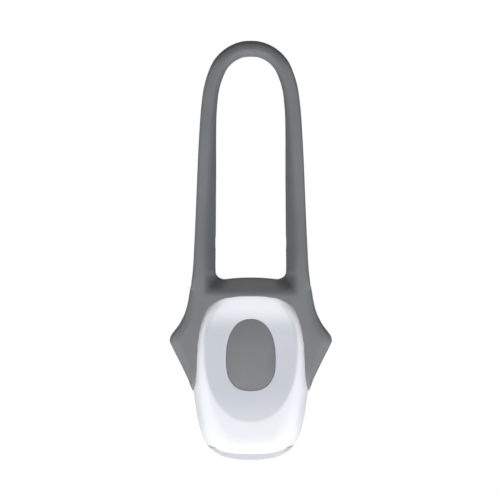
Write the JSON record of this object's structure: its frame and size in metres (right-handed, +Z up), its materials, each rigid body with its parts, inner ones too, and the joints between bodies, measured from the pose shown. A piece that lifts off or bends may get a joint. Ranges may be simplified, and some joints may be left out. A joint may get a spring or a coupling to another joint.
{
  "type": "bicycle light",
  "caption": "Strap-on bicycle light: silicone holder with ears and a long loop, white housing with a push button in a shallow dish, domed lens and lamps.",
  "frame": {"origin": "on the handlebar's axis, in the middle of the saddle on the holder's back", "axes": "+Z up along the strap loop, -Y out of the button face, X along the handlebar"},
  "size_m": [0.0398, 0.0249, 0.104],
  "materials": {
    "silicone": "matte, soft to the touch",
    "white_housing": "gloss, slightly translucent",
    "clear_lens": "clear moulded plastic",
    "seal": "matte",
    "reflector": "metallised",
    "black_plastic": "moulded",
    "steel": "stamped",
    "spring_metal": "plated",
    "board": "lacquered",
    "lamp": "clear resin",
    "ceramic": "fired"
  },
  "bodies": {
    "light": {"silicone_holder": "silicone", "front_shell": "white_housing", "rear_shell": "white_housing", "shell_seal": "seal", "lens": "clear_lens", "lens_seal": "seal", "reflector": "reflector", "battery_tray": "black_plastic", "coin_cell_rear": "steel", "coin_cell_front": "steel", "negative_contact": "spring_metal", "positive_contact": "spring_metal", "lamp_left": "lamp", "lamp_right": "lamp", "lamp_leads": "steel", "circuit_board": "board", "board_screws": "steel", "shell_screws": "steel", "controller_chip": "black_plastic", "capacitor": "ceramic", "resistors": "black_plastic", "switch_body": "black_plastic", "switch_dome": "steel", "switch_cover": "steel"},
    "strap": {"strap_loop": "silicone"},
    "button": {"button_pad": "silicone"},
    "plunger": {"switch_plunger": "black_plastic"}
  },
  "joints": [
    {"name": "strap_bend", "type": "hinge", "parent": "light", "child": "strap", "pos_m": [0, -0.0242, 0.021], "axis": [-1, 0, 0], "range_deg": [0, 100], "stiffness_Nm_per_rad": 0.006},
    {"name": "button_press", "type": "slide", "parent": "light", "child": "button", "axis": [0, 1, 0], "range_m": [0, 0.0005], "stiffness_N_per_m": 600},
    {"name": "plunger_press", "type": "slide", "parent": "light", "child": "plunger", "axis": [0, 1, 0], "range_m": [0, 0.0005]}
  ],
  "couplings": [
    {"joint": "plunger_press", "follows": "button_press", "ratio": 1}
  ]
}
